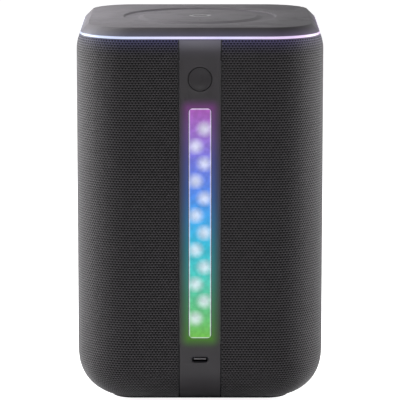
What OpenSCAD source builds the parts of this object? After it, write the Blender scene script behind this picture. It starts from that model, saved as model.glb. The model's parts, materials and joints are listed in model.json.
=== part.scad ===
// Smart speaker: a square, soft-cornered fabric tower with a touch top, a light ring
// and a control strip. Origin at the middle of the foot, +Z up, the strip faces -Y.

/* [Body] */
// Width and depth of the square body
body_w = 136; // [134:1:146]
// Height from the foot to the top plate
body_h = 211; // [206:1:214]
// Radius of the upright corners, seen from above
corner_r = 31; // [30:1:34]
// How far the bottom edge curves in
fillet_in = 34; // [33:1:36]
// How far up the bottom curve reaches
fillet_up = 29; // [27:1:31]
// Fullness of the bottom curve, where 2 is a circle
fillet_n = 2.4; // [2:0.1:2.6]

/* [Skin] */
// Thickness of the knitted sleeve
fabric_t = 0.8; // [0.6:0.1:1]
// Wall of the grille frame under the sleeve
frame_t = 2; // [1.6:0.2:2.4]
// How far in from the side the sleeve ends underneath
sleeve_end = 19; // [18:1:20]

/* [Top] */
// Height of the bevelled rim
cap_h = 4.5; // [4:0.5:5]
// How far in the bevel leans
cap_in = 4.6; // [4:0.2:5]
// Height of the light ring that shows
ring_t = 1.5; // [1:0.1:2]
// Outer radius of the finger groove
groove_out_r = 43; // [40:1:46]
// Inner radius of the finger groove
groove_in_r = 32; // [30:1:34]
// Depth of the finger groove
groove_d = 1; // [0.6:0.1:1.2]

/* [Control strip] */
// Width of the strip
strip_w = 22.4; // [21:0.2:24]
// Width of the light bar
bar_w = 12.2; // [11:0.2:13]
// Height of the light bar's lower end
bar_z0 = 40; // [38:1:42]
// Height of the light bar's upper end
bar_z1 = 167.5; // [162:0.5:168]
// Number of lamps behind the light bar
lamp_count = 12; // [8:1:14]
// Height of the mute button's centre
button_z = 183.5; // [182:0.5:184]
// Diameter of the mute button
button_d = 13; // [12:0.5:14]
// Height of the USB-C port's centre
port_z = 28; // [27:0.5:29]

/* [Drivers] */
// Travel of the woofer cone each way
woofer_travel = 3.5; // [2:0.5:3.5]
// Travel of each passive radiator each way
radiator_travel = 4; // [2:0.5:4]

/* [Hidden] */
$fn = 96;

// Gap between pieces that lie against each other
gap = 0.1;
// Steps along the bottom curve and the shoulder
steps = 10;
hw = body_w / 2;
corner_c = hw - corner_r;
// Height at which the skin's curve starts above the ground
skin_z0 = 1;
foot_h = 2;
foot_w = 80;
foot_r = 16;
foot_wall = 9;
cap_z = body_h - cap_h;
ring_z = cap_z - ring_t;
shoulder_in = 1.6;
shoulder_h = 8;
ring_in = shoulder_in + 0.4;
// Angle of the curve's parameter where the sleeve stops
end_a = acos(pow(1 - sleeve_end / fillet_in, fillet_n / 2));

// Frame slot and what fills it
slot_w = strip_w + 0.4;
strip_t = 2;
strip_back_y = -(hw - strip_t - gap);
chassis_back_y = strip_back_y + 6;
bar_l = bar_z1 - bar_z0;
bar_z = (bar_z0 + bar_z1) / 2;
lamp_x = 2.4;
// Height from each end of the bar to its nearest lamp
lamp_inset = 11.2;
lamp_pitch = (bar_l - 2 * lamp_inset) / (lamp_count - 1);
button_travel = 0.5;
port_w = 8.94;
port_h = 3.26;
port_wall = 0.3;
port_face_y = -hw + 0.9;
port_depth = 7.4;

// Levels inside, from the top down
plate_under_z = cap_z + 1.9;
touch_t = 1;
touch_z = plate_under_z - 0.4 - touch_t;
deck_z = ring_z - 8;
deck_t = 2;
board_t = 1.2;
post_xy = 48;
mic_y = -22.5;

// Cabinet
cab_w = 104;
cab_d = 104;
cab_y = 2;
cab_z0 = 46;
cab_z1 = 158;
cab_wall = 3;
cab_r = 12;
lid_z = cab_z1 - 3;
cab_screw = 45.5;
lower_z = 8;
leg_xy = 42;

// Woofer, hung under the cabinet, cone down
woofer_hole_r = 38;
flange_r = 46;
flange_t = 2.5;
woofer_z = cab_z0 - flange_t - 0.5;
coil_r = 12;
woofer_pcd_r = 42.5;

// Passive radiators on the two sides
rad_z = 103;
rad_hole_r = 33.5;
rad_frame_r = 40;
rad_x = cab_w / 2;
rad_cone_r = 26;

// Tweeters
tweet_x = 36;
tweet_z = 176;
tweet_y = -50;
tweet_r = 14;
dome_r = 9;
dome_travel = 0.3;

// Electronics
main_z = 170;
main_size = [88, 62];
main_y = 14;

// ---------- shared shapes ----------

// Rounded rectangle
module slab_2d(size, r) {
    square([size.x - 2 * r, size.y], center = true);
    square([size.x, size.y - 2 * r], center = true);
    for (sx = [-1, 1], sy = [-1, 1])
        translate([sx * (size.x / 2 - r), sy * (size.y / 2 - r)]) circle(r);
}

// Flat plate with rounded corners between two heights
module slab(size, r, z0, z1) {
    translate([0, 0, z0]) linear_extrude(z1 - z0) slab_2d(size, r);
}

// Flat plate with the body's outline, a distance in from the sides
module inset_slab(inset, z0, z1) {
    slab([body_w - 2 * inset, body_w - 2 * inset], corner_r - inset, z0, z1);
}

// Solid with the body's outline, where rim lists [inset, height] from the bottom up
module plan_solid(rim) {
    last = len(rim) - 1;
    for (turn = [0:3]) rotate(90 * turn) translate([corner_c, corner_c, 0])
        rotate_extrude(angle = 90) polygon(concat(
            [[0, rim[0][1]]], [for (p = rim) [corner_r - p[0], p[1]]], [[0, rim[last][1]]]));
    for (turn = [0, 90]) rotate(turn) translate([0, corner_c, 0]) rotate([90, 0, 0])
        linear_extrude(2 * corner_c) polygon(concat(
            [for (p = rim) [hw - p[0], p[1]]],
            [for (i = [last:-1:0]) [rim[i][0] - hw, rim[i][1]]]));
}

// The skin's outline in section, a distance inside the outer face, from the foot to the ring
function skin_rim(d) = concat(
    [for (i = [steps:-1:0]) let (a = end_a * i / steps)
        [d + (fillet_in - d) * (1 - pow(cos(a), 2 / fillet_n)),
         skin_z0 + d + (fillet_up - d) * (1 - pow(sin(a), 2 / fillet_n))]],
    [for (i = [0:4]) let (u = i / 4)
        [d + shoulder_in * u * u, ring_z - shoulder_h * (1 - u)]]);

// The same outline carried on past both ends, to cut with
function open_rim(d) = let (rim = skin_rim(d), last = len(rim) - 1) concat(
    [[rim[0][0], -1]], rim, [[rim[last][0], ring_z + 1]]);

// A shell between two distances inside the outer face
module skin_shell(d0, d1) {
    difference() {
        plan_solid(skin_rim(d0));
        plan_solid(open_rim(d1));
    }
}

// Places a shape drawn on the XY plane so that its +Z points out of the front, at depth y
module on_front(x, y, z) {
    translate([x, y, z]) rotate([90, 0, 0]) children();
}

// Places a shape so that its +Z points out of one side: 1 is right, -1 is left
module on_side(side, x, y, z) {
    translate([side * x, y, z]) rotate([0, 90 * side, 0]) children();
}

// A ring with a plain rectangular section
module ring(r_in, r_out, z0, z1) {
    rotate_extrude() translate([r_in, z0]) square([r_out - r_in, z1 - z0]);
}

// Copies to the four corners of a square
module at_corners(x, y = undef) {
    for (sx = [-1, 1], sy = [-1, 1]) translate([sx * x, sy * (is_undef(y) ? x : y), 0]) children();
}

// Countersunk-style screw, head down, tip up
module screw_up(r, length, head_r, head_h) {
    cylinder(r = r, h = length);
    difference() {
        translate([0, 0, -head_h]) cylinder(r = head_r, h = head_h);
        translate([0, 0, -head_h - 0.1]) cylinder(r = head_r * 0.45, h = head_h * 0.6, $fn = 6);
    }
}

// ---------- base ----------

// Ring of soft rubber that the speaker stands on
module rubber_foot() color("#1b1b1d") {
    difference() {
        slab([foot_w, foot_w], foot_r, 0, foot_h);
        slab([foot_w - 2 * foot_wall, foot_w - 2 * foot_wall], foot_r - foot_wall,
             -1, foot_h + 1);
    }
}

// Plate that closes the bottom and traps the sleeve's edge
module base_plate() color("#26262a") {
    difference() {
        union() {
            inset_slab(sleeve_end + 0.2, foot_h, foot_h + 0.6);
            inset_slab(sleeve_end + 1.8, foot_h + 0.6, foot_h + 3);
        }
        for (turn = [0:90:270]) rotate(turn) translate([20, 20, 0]) {
            cylinder(r = 1.6, h = 20, center = true);
            translate([0, 0, foot_h - 1]) cylinder(r = 3.2, h = 2.8);
        }
    }
}

// Four screws from the base into the lower chassis
module base_screws() color("silver") {
    for (turn = [0:90:270]) rotate(turn) translate([20, 20, foot_h + 1.8])
        screw_up(1.4, 10, 2.8, 1.5);
}

// Lower chassis: deck, cone that spreads the woofer's sound, and legs up to the cabinet
module lower_chassis() color("#303034") {
    difference() {
        union() {
            inset_slab(15, lower_z, lower_z + 3);
            rotate_extrude() polygon([
                [0, lower_z], [31, lower_z], [31, lower_z + 3], [20, lower_z + 6],
                [10, lower_z + 13], [4, lower_z + 22], [0, lower_z + 24]]);
            for (turn = [0:90:270]) rotate(turn) translate([20, 20, foot_h + 3 + gap])
                cylinder(r = 4, h = lower_z - foot_h - 2.5);
            at_corners(leg_xy) translate([0, 0, lower_z]) cylinder(r = 4, h = cab_z0 - lower_z - gap);
            // Posts under the port's board
            for (sx = [-1, 1]) translate([sx * 5, -48, lower_z])
                cylinder(r = 1.6, h = port_z - port_h / 2 - 1.1 - lower_z - 0.05);
        }
        for (turn = [0:90:270]) rotate(turn) translate([20, 20, 0]) cylinder(r = 1.45, h = 14);
    }
}

// ---------- skin ----------

// Moulded frame with sound slots, open at the front for the control strip
module grille_frame() color("#2a2a2d") {
    slot_h = 26;
    slot_pitch_z = 31;
    difference() {
        skin_shell(fabric_t + gap, fabric_t + gap + frame_t);
        translate([-slot_w / 2, -hw - 1, -1]) cube([slot_w, corner_r, body_h]);
        for (level = [0:4], column = [-3:3]) {
            translate([column * 9 - 2, 0, 38 + level * slot_pitch_z]) cube([4, hw + 1, slot_h]);
            translate([-hw - 1, column * 9 - 2, 38 + level * slot_pitch_z])
                cube([body_w + 2, 4, slot_h]);
        }
    }
}

// Knitted sleeve stretched over the frame, with its opening down the front
module fabric_sleeve() color("#4a4a4e") {
    difference() {
        skin_shell(0, fabric_t);
        translate([-slot_w / 2, -hw - 1, -1]) cube([slot_w, corner_r, body_h]);
    }
}

// ---------- control strip ----------

// Strip that follows the front from the light ring down under the bottom curve
module control_strip() color("#403d40") {
    outer = skin_rim(0);
    inner = skin_rim(strip_t);
    last = len(outer) - 1;
    trim = 0.15;
    section = concat(
        [for (i = [0:last]) [outer[i][0] - hw, outer[i][1] - (i == last ? trim : 0)]],
        [for (i = [last:-1:0]) [inner[i][0] - hw, inner[i][1] - (i == last ? trim : 0)]]);
    difference() {
        translate([-strip_w / 2, 0, 0]) rotate([90, 0, 90]) linear_extrude(strip_w) polygon(section);
        on_front(0, -hw + strip_t + 1, bar_z) linear_extrude(strip_t + 2)
            slab_2d([bar_w + 0.3, bar_l + 0.3], 2.3);
        on_front(0, -hw + strip_t + 1, button_z) cylinder(r = button_d / 2 + 0.25, h = strip_t + 2);
        on_front(0, -hw + strip_t + 3, port_z) linear_extrude(strip_t + 4)
            slab_2d([port_w + 0.3, port_h + 0.3], 1.7);
    }
}

// White moulding behind the strip that walls in the lamps and guides the button
module strip_chassis() color("#e8e8ea") {
    difference() {
        union() {
            translate([-10.8, strip_back_y, bar_z0 - 6])
                cube([21.6, chassis_back_y - strip_back_y, button_z - bar_z0 + 17.5]);
            translate([-14, strip_back_y + 1.2, bar_z0 - 4])
                cube([28, 2, button_z - bar_z0 + 13.5]);
        }
        on_front(0, chassis_back_y + 1, bar_z) linear_extrude(8)
            slab_2d([bar_w + 0.3, bar_l + 0.3], 2.3);
        on_front(0, strip_back_y + 1, bar_z) linear_extrude(2)
            slab_2d([bar_w + 3.3, bar_l + 3.3], 3.5);
        on_front(0, chassis_back_y + 1, button_z) cylinder(r = 4.3, h = 8);
        on_front(0, strip_back_y + 2.6, button_z) cylinder(r = button_d / 2 + 1.4, h = 4);
    }
}

// Frosted bar that stands in the strip's slot, with a flange behind it
module light_bar_lens() color("#7f7fd0") {
    on_front(0, strip_back_y + gap, bar_z) linear_extrude(strip_t + gap)
        slab_2d([bar_w, bar_l], 2.2);
    on_front(0, strip_back_y + 0.95, bar_z) linear_extrude(0.85)
        slab_2d([bar_w + 3, bar_l + 3], 3.4);
}

module light_bar_board() color("darkgreen") {
    translate([-8, chassis_back_y + gap, bar_z0 - 3]) cube([16, board_t, bar_l + 6]);
}

// Lamps in two staggered columns, starting at the top on the right
module light_bar_lamps() color("ivory") {
    for (i = [0:lamp_count - 1])
        translate([(i % 2 == 0 ? 1 : -1) * lamp_x - 1, chassis_back_y - 0.9,
                bar_z1 - lamp_inset - i * lamp_pitch - 1])
            cube([2, 0.9, 2]);
}

// Round button with a shallow dish, a flange behind the strip and a stem
module mute_button() color("#454245") {
    difference() {
        on_front(0, strip_back_y + 2, button_z) union() {
            translate([0, 0, 0.6]) cylinder(r = button_d / 2, h = strip_t + 1.4 + gap);
            cylinder(r = button_d / 2 + 0.9, h = 2);
            translate([0, 0, -2.4]) cylinder(r = 3.9, h = 3);
        }
        // Dish in the face
        on_front(0, -hw - 39.6, button_z) sphere(r = 40, $fn = 96);
        // Recess for the icon
        on_front(0, -hw + 0.9, button_z) linear_extrude(1) icon_2d(0.06);
    }
}

// Generic microphone with a bar across it
module icon_2d(grow) {
    slab_2d([2 + 2 * grow, 3.8 + 2 * grow], 0.95 + grow);
    difference() {
        translate([0, 0]) circle(1.9 + grow);
        circle(1.45 - grow);
        translate([0, 2.4]) square([6, 4.8], center = true);
    }
    translate([0, -2.3]) square([0.5 + 2 * grow, 1 + 2 * grow], center = true);
    translate([0, -2.8]) square([2 + 2 * grow, 0.45 + 2 * grow], center = true);
    rotate(40) square([0.5 + 2 * grow, 6.6 + 2 * grow], center = true);
}

module button_icon() color("white") {
    on_front(0, -hw + 0.9, button_z) linear_extrude(0.4) icon_2d(0);
}

// Tip of the tact switch, pushed by the button's stem
module switch_plunger() color("#202020") {
    on_front(0, strip_back_y + 5.6, button_z) cylinder(r = 1.6, h = 1.2);
}

module mute_switch() color("silver") {
    difference() {
        translate([-3, strip_back_y + 5, button_z - 3]) cube([6, 2.5, 6]);
        on_front(0, strip_back_y + 5.9 + button_travel, button_z) cylinder(r = 1.65, h = 2);
    }
}

module button_board() color("darkgreen") {
    translate([-8, strip_back_y + 7.5 + gap, button_z - 10]) cube([16, board_t, 20]);
}

// Metal shell of the USB-C socket, open at the front
module usb_shell() color("silver") {
    difference() {
        on_front(0, port_face_y + port_depth, port_z) linear_extrude(port_depth)
            slab_2d([port_w, port_h], port_h / 2 - 0.01);
        on_front(0, port_face_y + port_depth - 0.8, port_z) linear_extrude(port_depth)
            slab_2d([port_w - 2 * port_wall, port_h - 2 * port_wall], port_h / 2 - port_wall - 0.01);
    }
}

module usb_tongue() color("#1c1c1e") {
    translate([-6.69 / 2, port_face_y + 1.4, port_z - 0.35])
        cube([6.69, port_depth - 2.2 - gap, 0.7]);
}

module usb_board() color("darkgreen") {
    translate([-8, -hw + 4.5, port_z - port_h / 2 - 1.1]) cube([16, 20, 1]);
}

// ---------- top ----------

// Touch plate with a bevelled rim, a round finger groove and a raised middle
module top_plate() color("#8d8c8e") {
    outer_slope = 0.8;
    inner_slope = 3;
    difference() {
        union() {
            difference() {
                plan_solid([[ring_in, cap_z], [ring_in + cap_in, body_h]]);
                inset_slab(7, cap_z - 1, plate_under_z);
            }
            at_corners(post_xy) translate([0, 0, deck_z + gap])
                cylinder(r = 3, h = plate_under_z - deck_z + 0.5);
        }
        rotate_extrude() polygon([
            [groove_in_r, body_h], [groove_in_r + inner_slope, body_h - groove_d],
            [groove_out_r - outer_slope, body_h - groove_d], [groove_out_r, body_h],
            [groove_out_r, body_h + 1], [groove_in_r, body_h + 1]]);
        translate([0, 0, body_h - 0.5]) ring(4.1, 6.3, 0, 1);
        translate([0, mic_y, body_h - 5]) cylinder(r = 0.6, h = 6);
        at_corners(post_xy) translate([0, 0, deck_z - 1]) cylinder(r = 1.25, h = 9.5);
    }
}

// Plain ring let into the middle of the plate
module top_mark() color("#c9c9cb") {
    translate([0, 0, body_h - 0.45]) ring(4.15, 6.25, 0, 0.45);
}

// Milky ring between the sleeve and the plate, with a leg down to the lamps
module light_ring() color("#e9e4ff") {
    flange_in = 10;
    leg_in = 6.2;
    difference() {
        union() {
            plan_solid([[ring_in, ring_z + gap], [ring_in, cap_z - gap]]);
            inset_slab(leg_in, deck_z + board_t + 1.4, ring_z + 1);
        }
        inset_slab(flange_in, deck_z, cap_z + 1);
    }
}

module touch_board() color("darkgreen") {
    difference() {
        slab([84, 84], 6, touch_z, touch_z + touch_t);
        translate([0, mic_y, 0]) cylinder(r = 0.5, h = body_h);
    }
}

module microphone() color("gold") {
    translate([-1.9, mic_y - 1.5, touch_z - 1.1]) cube([3.8, 3, 1.05]);
}

module mic_gasket() color("black") {
    translate([0, mic_y, 0]) ring(0.7, 2, touch_z + touch_t + 0.02, plate_under_z - 0.02);
}

// Deck across the top of the frame that carries the ring's board and takes the top screws
module top_carrier() color("#303034") {
    difference() {
        union() {
            inset_slab(5.4, deck_z - deck_t, deck_z);
            difference() {
                inset_slab(4.4, deck_z - 12, deck_z);
                inset_slab(6, deck_z - 13, deck_z + 1);
            }
        }
        slab([70, 70], 8, deck_z - 20, deck_z + 1);
        at_corners(post_xy) translate([0, 0, deck_z - 5]) cylinder(r = 1.5, h = 10);
        translate([-14.5, -hw, deck_z - 20]) cube([29, 12, 30]);
    }
}

module ring_board() color("darkgreen") {
    difference() {
        inset_slab(6.4, deck_z + 0.05, deck_z + board_t);
        inset_slab(12, deck_z - 1, deck_z + 5);
    }
}

// Lamps around the light ring
module ring_lamps() color("ivory") {
    per_side = 5;
    for (turn = [0:3]) rotate(90 * turn) {
        for (i = [0:per_side - 1])
            translate([(i - (per_side - 1) / 2) * 15 - 1, hw - 9, deck_z + board_t]) cube([2, 1.5, 0.8]);
        translate([corner_c, corner_c, 0]) rotate(45)
            translate([corner_r - 9, -1, deck_z + board_t]) cube([1.5, 2, 0.8]);
    }
}

module top_screws() color("silver") {
    at_corners(post_xy) translate([0, 0, deck_z - deck_t - gap]) screw_up(1.2, 9, 2.6, 1.6);
}

// ---------- cabinet ----------

// Sealed tub that the woofer and both radiators breathe from
module cabinet_body() color("#3a3a3f") {
    difference() {
        translate([0, cab_y, 0]) slab([cab_w, cab_d], cab_r, cab_z0, lid_z - 0.6);
        difference() {
            translate([0, cab_y, 0])
                slab([cab_w - 2 * cab_wall, cab_d - 2 * cab_wall], cab_r - cab_wall,
                    cab_z0 + cab_wall, cab_z1 + 1);
            translate([0, cab_y, 0]) at_corners(cab_screw) cylinder(r = 5, h = cab_z1);
        }
        translate([0, cab_y, cab_z0 - 1]) cylinder(r = woofer_hole_r, h = cab_wall + 2);
        translate([0, cab_y, cab_z0 - 1]) for (turn = [0:90:270]) rotate(turn)
            translate([woofer_pcd_r, 0, 0]) cylinder(r = 1.25, h = cab_wall + 2);
        for (side = [-1, 1]) on_side(side, rad_x - cab_wall - 1, cab_y, rad_z)
            cylinder(r = rad_hole_r + 0.6, h = cab_wall + 2);
        translate([0, cab_y, 0]) at_corners(cab_screw)
            translate([0, 0, lid_z - 12]) cylinder(r = 1.25, h = 12);
    }
}

module cabinet_lid() color("#3a3a3f") {
    difference() {
        union() {
            translate([0, cab_y, 0]) slab([cab_w, cab_d], cab_r, lid_z, cab_z1);
            // Standoffs for the main board
            translate([0, main_y, 0]) at_corners(main_size.x / 2 - 5, main_size.y / 2 - 5)
                cylinder(r = 3, h = main_z - gap);
        }
        translate([-cab_w, -cab_d, 0]) cube([2 * cab_w, 2 * cab_d, lid_z]);
        translate([0, cab_y, 0]) at_corners(cab_screw) cylinder(r = 1.4, h = cab_z1 + 1);
        translate([18, cab_y - 30, 0]) cylinder(r = 3, h = cab_z1 + 1);
    }
}

module cabinet_gasket() color("black") {
    difference() {
        translate([0, cab_y, 0]) slab([cab_w, cab_d], cab_r, lid_z - 0.55, lid_z - 0.05);
        translate([0, cab_y, 0])
            slab([cab_w - 2 * cab_wall, cab_d - 2 * cab_wall], cab_r - cab_wall, lid_z - 2, lid_z + 1);
    }
}

module cabinet_screws() color("silver") {
    translate([0, cab_y, cab_z1 + gap]) at_corners(cab_screw) mirror([0, 0, 1])
        screw_up(1.2, 13, 2.8, 1.6);
}

// ---------- woofer ----------

// Spun profile about the woofer's axis, heights counted from the flange's lower face
module woofer_turn(points) {
    translate([0, cab_y, woofer_z]) rotate_extrude() polygon(points);
}

// Pressed basket: flange, four-spoked cone and a seat for the magnet
module woofer_basket() color("#222225") {
    difference() {
        woofer_turn([
            [37, 0], [flange_r, 0], [flange_r, flange_t], [37.6, flange_t],
            [27, 22], [27, 25], [13, 25], [13, 23.5], [25, 23.5], [25, 21.5], [35.5, 1.5]]);
        for (turn = [0:90:270]) translate([0, cab_y, woofer_z]) rotate(turn + 45)
            translate([14, -9, 7]) cube([30, 18, 13]);
        for (turn = [0:90:270]) translate([0, cab_y, woofer_z - 1]) rotate(turn)
            translate([woofer_pcd_r, 0, 0]) cylinder(r = 1.4, h = 6);
    }
}

module woofer_gasket() color("black") {
    difference() {
        translate([0, cab_y, 0]) ring(woofer_hole_r + 0.2, flange_r, cab_z0 - 0.45, cab_z0 - 0.05);
        for (turn = [0:90:270]) translate([0, cab_y, cab_z0 - 2]) rotate(turn)
            translate([woofer_pcd_r, 0, 0]) cylinder(r = 1.6, h = 6);
    }
}

module woofer_screws() color("silver") {
    for (turn = [0:90:270]) translate([0, cab_y, woofer_z - gap]) rotate(turn)
        translate([woofer_pcd_r, 0, 0]) screw_up(1.2, 5.6, 2.4, 1.5);
}

module woofer_front_plate() color("#b9bcc0") {
    woofer_turn([[13, 25.05], [29, 25.05], [29, 29], [13, 29]]);
}

module woofer_magnet() color("#35363a") {
    woofer_turn([[15.5, 29.05], [32, 29.05], [32, 39], [15.5, 39]]);
}

// Back plate and pole in one piece
module woofer_yoke() color("#b9bcc0") {
    woofer_turn([[0, 24], [11, 24], [11, 39.05], [29, 39.05], [29, 43], [0, 43]]);
}

module woofer_coil() color("#b87333") {
    woofer_turn([[11.3, 13], [coil_r, 13], [coil_r, 22.4], [12.6, 22.4],
        [12.6, 27.5 + woofer_travel], [11.3, 27.5 + woofer_travel]]);
}

module woofer_cone() color("#2c2c30") {
    woofer_turn([
        [coil_r + 0.05, 13], [30.6, 0], [32, 0], [32, 0.8], [31, 0.8], [coil_r + 0.05, 14]]);
}

module woofer_dust_cap() color("#2c2c30") {
    woofer_turn([
        [0, 8.4], [4, 8.7], [8, 9.7], [13, 11.8], [13, 12.2], [11, 12], [8, 10.5], [4, 9.5],
        [0, 9.2]]);
}

// Half roll of rubber between the cone and the flange
module woofer_surround() color("#151517") {
    translate([0, cab_y, woofer_z]) rotate_extrude() translate([34.3, 0]) difference() {
        circle(r = 2.6);
        circle(r = 1.9);
        translate([-4, -0.05]) square([8, 4]);
    }
}

// Corrugated disc that centres the coil
module woofer_spider() color("#b9863a") {
    woofer_turn([
        [12.1, 18], [14, 18], [15, 19], [17, 17.2], [19, 19], [21, 17.2], [22.5, 18.4], [24.6, 18.4],
        [24.6, 19], [22.3, 19], [21, 17.9], [19, 19.7], [17, 17.9], [15, 19.7], [13.8, 18.6],
        [12.1, 18.6]]);
}

// ---------- passive radiators ----------

// Spun profile about a radiator's axis, heights counted outward from the cabinet's side
module radiator_turn(side, points) {
    on_side(side, rad_x, cab_y, rad_z) rotate_extrude() polygon(points);
}

module radiator_frames() color("#222225") {
    for (side = [-1, 1]) radiator_turn(side, [
        [33, -2.5], [rad_hole_r, -2.5], [rad_hole_r, gap], [rad_frame_r, gap], [rad_frame_r, 1.8],
        [33, 1.8]]);
}

// Stiff dished plate with a weight at its middle
module radiator_cone(side) {
    radiator_turn(side, [
        [0, -4], [8, -4], [8, -1.2], [18, -1.2], [24.4, 0.6], [rad_cone_r, 0.6], [rad_cone_r, 1.8],
        [24, 1.8], [18, 0], [0, 0]]);
}

module radiator_cone_left() color("#3b3b40") radiator_cone(-1);

module radiator_cone_right() color("#3b3b40") radiator_cone(1);

module radiator_surround(side) {
    roll_r = radiator_travel - 0.5;
    roll_t = 0.7;
    mid_r = (rad_cone_r + rad_hole_r) / 2 - 0.2;
    radiator_turn(side, concat(
        [for (a = [180:-15:0]) [mid_r + roll_r * cos(a), 1.9 + roll_r * sin(a)]],
        [for (a = [0:15:180]) [mid_r + (roll_r - roll_t) * cos(a), 1.9 + (roll_r - roll_t) * sin(a)]]));
}

module radiator_surround_left() color("#151517") radiator_surround(-1);

module radiator_surround_right() color("#151517") radiator_surround(1);

// ---------- tweeters ----------

// Bracket on the lid that holds both tweeters to the front
module tweeter_bracket() color("#3a3a3f") {
    difference() {
        union() {
            translate([-52, tweet_y, cab_z1 + gap]) cube([104, 3, 31.5]);
            translate([-40, tweet_y, cab_z1 + gap]) cube([80, 12, 2.5]);
        }
        for (sx = [-1, 1]) on_front(sx * tweet_x, tweet_y + 6, tweet_z) cylinder(r = 12.3, h = 8);
        translate([-13, tweet_y - 1, cab_z1]) cube([26, 5, 40]);
    }
}

// Housing, magnet and face ring of each tweeter
module tweeter_bodies() color("#222225") {
    for (sx = [-1, 1]) on_front(sx * tweet_x, tweet_y - gap, tweet_z) rotate_extrude() polygon([
        [0, -15], [12, -15], [12, 0], [tweet_r, 0], [tweet_r, 2], [10.2, 2], [10.2, -1.6],
        [9.4, -1.6], [9.4, -6.5 - dome_travel], [7.4, -6.5 - dome_travel], [7.4, -1.6], [0, -1.6]]);
}

// Soft dome with its voice coil, heights counted outward from the bracket
module tweeter_dome(side) {
    on_front(side * tweet_x, tweet_y - gap, tweet_z) rotate_extrude() polygon(concat(
        [for (i = [0:6]) let (a = 15 * i) [dome_r * cos(a), 5 * sin(a) + 0.2]],
        [for (i = [6:-1:0]) let (a = 15 * i) [(dome_r - 0.5) * cos(a), 4.5 * sin(a) + 0.2]],
        [[8.2, -5.6], [8.7, -5.6], [8.8, -0.6], [9.9, -0.6], [9.9, 0.2]]));
}

module tweeter_dome_left() color("#5a5a60") tweeter_dome(-1);

module tweeter_dome_right() color("#5a5a60") tweeter_dome(1);

// ---------- electronics ----------

// Places a part on the main board by its corner
module on_main(x, y, z = board_t) {
    translate([x, main_y + y, main_z + z]) children();
}

module main_board() color("darkgreen") {
    on_main(-main_size.x / 2, -main_size.y / 2, 0) cube([main_size.x, main_size.y, board_t]);
}

module board_chips() color("#202022") {
    on_main(-32, -24) cube([9, 9, 1]);
    on_main(-20, -24) cube([8, 12, 1]);
    on_main(-34, 2) cube([6, 5, 0.9]);
    on_main(-24, 2) cube([5, 5, 0.9]);
    on_main(-34, 16) cube([12, 8, 3.5]);
    on_main(-16, 18) cube([5, 6, 1.2]);
}

// Folded can over the radio
module shield_can() color("silver") {
    difference() {
        on_main(-8, -25) cube([26, 20, 3]);
        on_main(-7.6, -24.6, 0) cube([25.2, 19.2, 3.8]);
    }
}

// Finned block over the amplifier
module heatsink() color("#8f9196") {
    on_main(-6, 2) cube([26, 22, 2.5]);
    for (i = [0:6]) on_main(-6 + i * 4.1, 2, board_t + 2.5) cube([1.4, 22, 7]);
}

module capacitors() color("#22304f") {
    for (i = [0:2]) on_main(33, -14 + i * 12) cylinder(r = 5, h = 12);
    on_main(-38, -8) cylinder(r = 3, h = 8);
}

// Flat cable from the light bar's board, under the main board's edge and over onto it
module ribbon_cable() color("#d8d2b8") {
    cable_w = 8;
    t = 0.3;
    y0 = chassis_back_y + gap + board_t + 0.05;
    y1 = main_y - main_size.y / 2 - 3;
    z0 = bar_z1 - 12;
    z1 = main_z - 4;
    z2 = main_z + board_t + 0.05;
    translate([-cable_w / 2, 0, 0]) rotate([90, 0, 90]) linear_extrude(cable_w) {
        translate([y0, z0]) square([t, z1 - z0]);
        translate([y0, z1 - t]) square([y1 - y0, t]);
        translate([y1 - t, z1 - t]) square([t, z2 - z1 + 2 * t]);
        translate([y1 - t, z2]) square([9, t]);
    }
}

module wifi_antennas() color("goldenrod") {
    for (sx = [-1, 1]) translate([sx * 34 - 10, hw - 13, 166]) cube([20, 0.8, 12]);
}

// ---------- assembly ----------

rubber_foot();
base_plate();
base_screws();
lower_chassis();
grille_frame();
fabric_sleeve();
control_strip();
strip_chassis();
light_bar_lens();
light_bar_board();
light_bar_lamps();
mute_button();
button_icon();
switch_plunger();
mute_switch();
button_board();
usb_shell();
usb_tongue();
usb_board();
top_plate();
top_mark();
light_ring();
touch_board();
microphone();
mic_gasket();
top_carrier();
ring_board();
ring_lamps();
top_screws();
cabinet_body();
cabinet_lid();
cabinet_gasket();
cabinet_screws();
woofer_basket();
woofer_gasket();
woofer_screws();
woofer_front_plate();
woofer_magnet();
woofer_yoke();
woofer_coil();
woofer_cone();
woofer_dust_cap();
woofer_surround();
woofer_spider();
radiator_frames();
radiator_cone_left();
radiator_cone_right();
radiator_surround_left();
radiator_surround_right();
tweeter_bracket();
tweeter_bodies();
tweeter_dome_left();
tweeter_dome_right();
main_board();
board_chips();
shield_can();
heatsink();
capacitors();
ribbon_cable();
wifi_antennas();
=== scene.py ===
"""Looks of a square fabric speaker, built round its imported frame.

Lengths are in metres in the frame's own axes: the origin is the middle of the foot's
underside, +Z is up and the control strip faces -Y.
"""

import json
import logging
import math
from contextlib import contextmanager
from dataclasses import dataclass
from enum import Enum
from typing import Callable, Iterator, Sequence

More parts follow.
